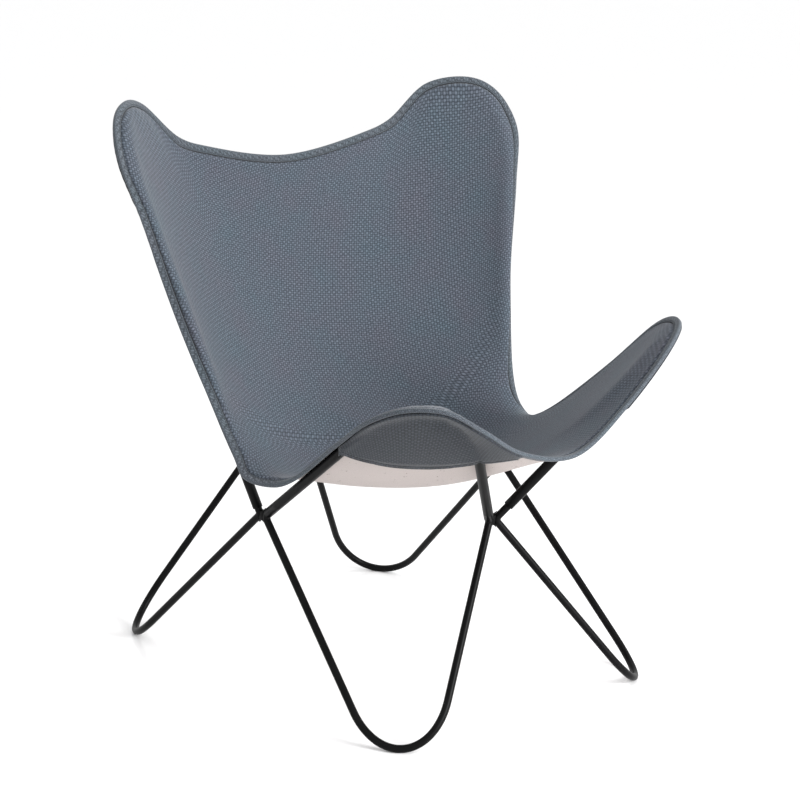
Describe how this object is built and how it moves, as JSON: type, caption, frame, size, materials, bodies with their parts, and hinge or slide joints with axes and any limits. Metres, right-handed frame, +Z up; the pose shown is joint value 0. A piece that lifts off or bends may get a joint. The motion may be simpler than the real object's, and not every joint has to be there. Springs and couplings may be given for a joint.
{
  "type": "butterfly sling chair",
  "caption": "Low lounge chair: four bent rod loops welded into a base, tube arches pushed over the rod ends, and a two-layer fabric sling hung over the arches in corner pockets.",
  "frame": {"origin": "middle of the chair's footprint, on the floor", "axes": "+Z up, -Y towards the front, where the sitter's legs go, +X to the right of someone facing the chair"},
  "size_m": [0.8288, 0.8276, 0.9186],
  "materials": {
    "powder_coated_steel": "satin powder coat",
    "seat_fabric": "dense blue-grey basket weave, matt",
    "lining_canvas": "off-white canvas with fine dark flecks",
    "edge_binding": "folded and double-stitched edge in the seat fabric"
  },
  "bodies": {
    "root": {"arch_tube_front_left": "powder_coated_steel", "arch_tube_front_right": "powder_coated_steel", "arch_tube_rear_left": "powder_coated_steel", "arch_tube_rear_right": "powder_coated_steel", "floor_loop_front_left": "powder_coated_steel", "floor_loop_front_right": "powder_coated_steel", "floor_loop_rear_left": "powder_coated_steel", "floor_loop_rear_right": "powder_coated_steel", "hem_band": "edge_binding", "mouth_band_front_left": "edge_binding", "mouth_band_front_right": "edge_binding", "mouth_band_rear_left": "edge_binding", "mouth_band_rear_right": "edge_binding", "pocket_front_left": "seat_fabric", "pocket_front_right": "seat_fabric", "pocket_rear_left": "seat_fabric", "pocket_rear_right": "seat_fabric", "sling_lining": "lining_canvas", "sling_panel": "seat_fabric", "weld_front": "powder_coated_steel", "weld_left": "powder_coated_steel", "weld_rear": "powder_coated_steel", "weld_right": "powder_coated_steel"}
  },
  "joints": []
}
